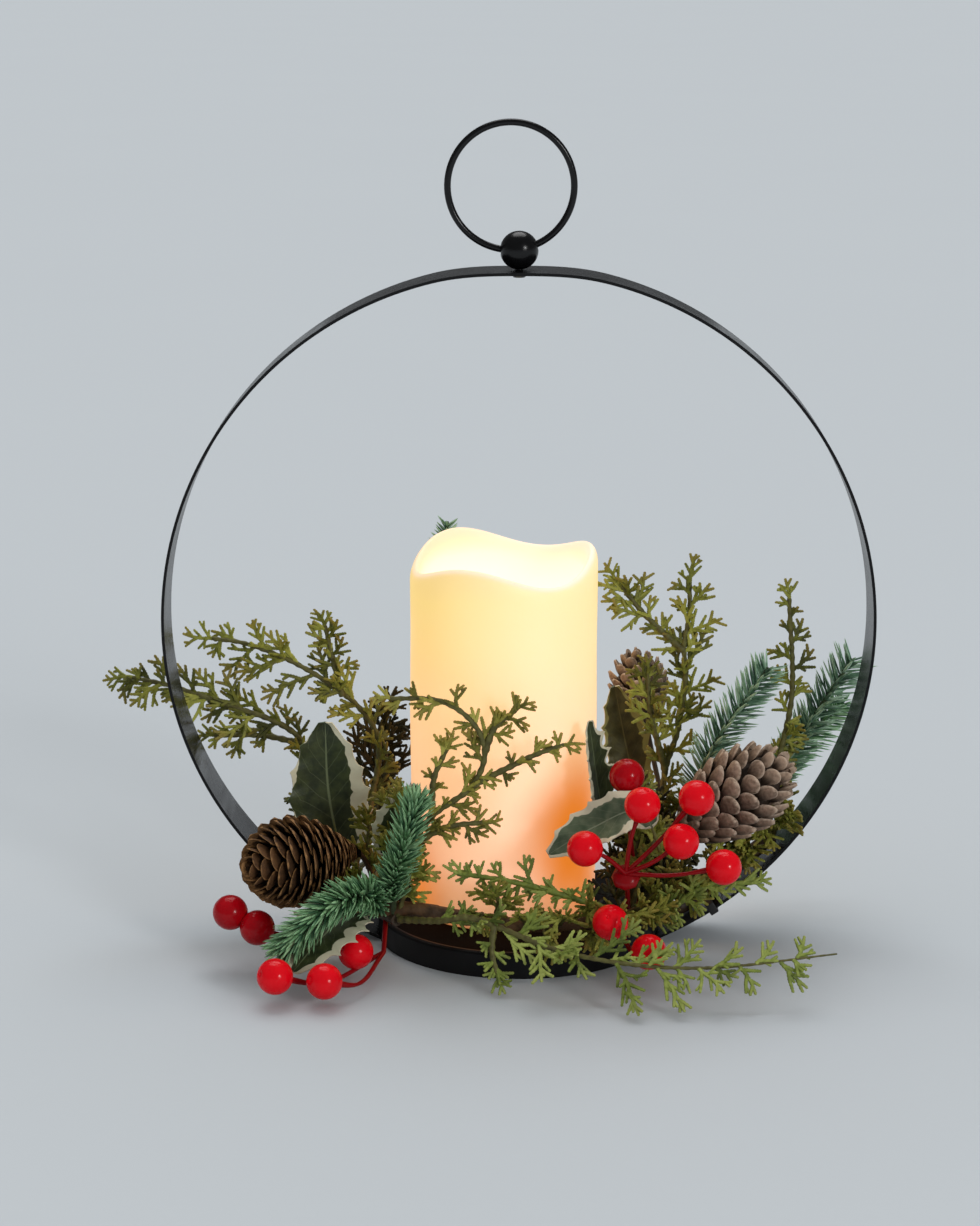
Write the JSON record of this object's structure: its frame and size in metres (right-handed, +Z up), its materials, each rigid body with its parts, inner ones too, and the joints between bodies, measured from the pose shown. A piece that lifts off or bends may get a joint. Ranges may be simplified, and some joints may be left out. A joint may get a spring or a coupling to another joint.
{
  "type": "hoop lantern",
  "caption": "Flat-strip hoop lantern on a low round base with a swinging hanging ring, a lift-out LED pillar candle and tied winter greenery.",
  "frame": {"origin": "on the ground, under the middle of the base, on the underside of the hoop strip", "axes": "+Z up, -Y towards the front that the picture shows, +X to the right; the hoop lies in the XZ plane"},
  "size_m": [0.321, 0.1609, 0.3314],
  "materials": {
    "black_metal": "satin black paint",
    "steel": "plain steel",
    "wax": "ivory wax",
    "white_plastic": "moulded",
    "lamp": "clear warm lens",
    "board": "coated board",
    "battery_sleeve": "printed sleeve",
    "switch_black": "moulded",
    "cedar": "moulded olive green",
    "fir": "cut film needles",
    "holly": "waxed cloth with pale edges",
    "pine_cone": "dry scales",
    "berry": "lacquered red",
    "tape": "brown crepe tape",
    "tie": "black tie"
  },
  "bodies": {
    "frame": {"hoop_strip": "black_metal", "base_pan": "black_metal", "base_rivet_left": "steel", "base_rivet_right": "steel", "hanger_ball": "black_metal", "hanger_screw": "steel", "stem_bundle_left": "tape", "stem_bundle_right": "tape", "tie_left": "tie", "tie_right": "tie", "cedar_left_long": "cedar", "cedar_left_upper": "cedar", "cedar_left_dark": "cedar", "cedar_left_front": "cedar", "cedar_front_long": "cedar", "cedar_front_small": "cedar", "cedar_right_upper": "cedar", "cedar_right_thin": "cedar", "cedar_right_low": "cedar", "fir_left_lower": "fir", "fir_left_upper": "fir", "fir_right_inner": "fir", "fir_right_outer": "fir", "fir_right_low": "fir", "fir_back": "fir", "holly_left_tall": "holly", "holly_left_low": "holly", "holly_left_back": "holly", "holly_right_edge": "holly", "holly_right_low": "holly", "holly_right_back": "holly", "pine_cone_left": "pine_cone", "pine_cone_right": "pine_cone", "pine_cone_back": "pine_cone", "berry_pick_left": "berry", "berry_pick_left_low": "berry", "berry_pick_right": "berry", "berry_pick_right_low": "berry", "berry_single_right": "berry"},
    "ring": {"hanger_ring": "black_metal"},
    "candle": {"candle_shell": "wax", "battery_holder": "white_plastic", "top_contact": "steel", "circuit_board": "board", "lamp_stem": "white_plastic", "lamp_plate": "white_plastic", "led_lamp": "lamp", "battery_1": "battery_sleeve", "battery_2": "battery_sleeve", "battery_3": "battery_sleeve"},
    "cover": {"battery_cover": "white_plastic", "cover_contact": "steel"},
    "switch": {"switch_knob": "switch_black"}
  },
  "joints": [
    {"name": "ring_swing", "type": "hinge", "parent": "frame", "child": "ring", "pos_m": [-0.00013, 0, 0.28149], "axis": [0.9912, 0, 0.1323], "range_deg": [-105, 105]},
    {"name": "candle_lift", "type": "slide", "parent": "frame", "child": "candle", "axis": [0, 0, 1], "range_m": [0, 0.1]},
    {"name": "cover_twist", "type": "hinge", "parent": "candle", "child": "cover", "pos_m": [-0.006, 0.008, 0.0115], "axis": [0, 0, 1], "range_deg": [0, 40]},
    {"name": "switch_slide", "type": "slide", "parent": "candle", "child": "switch", "axis": [0, 1, 0], "range_m": [0, 0.004]}
  ]
}
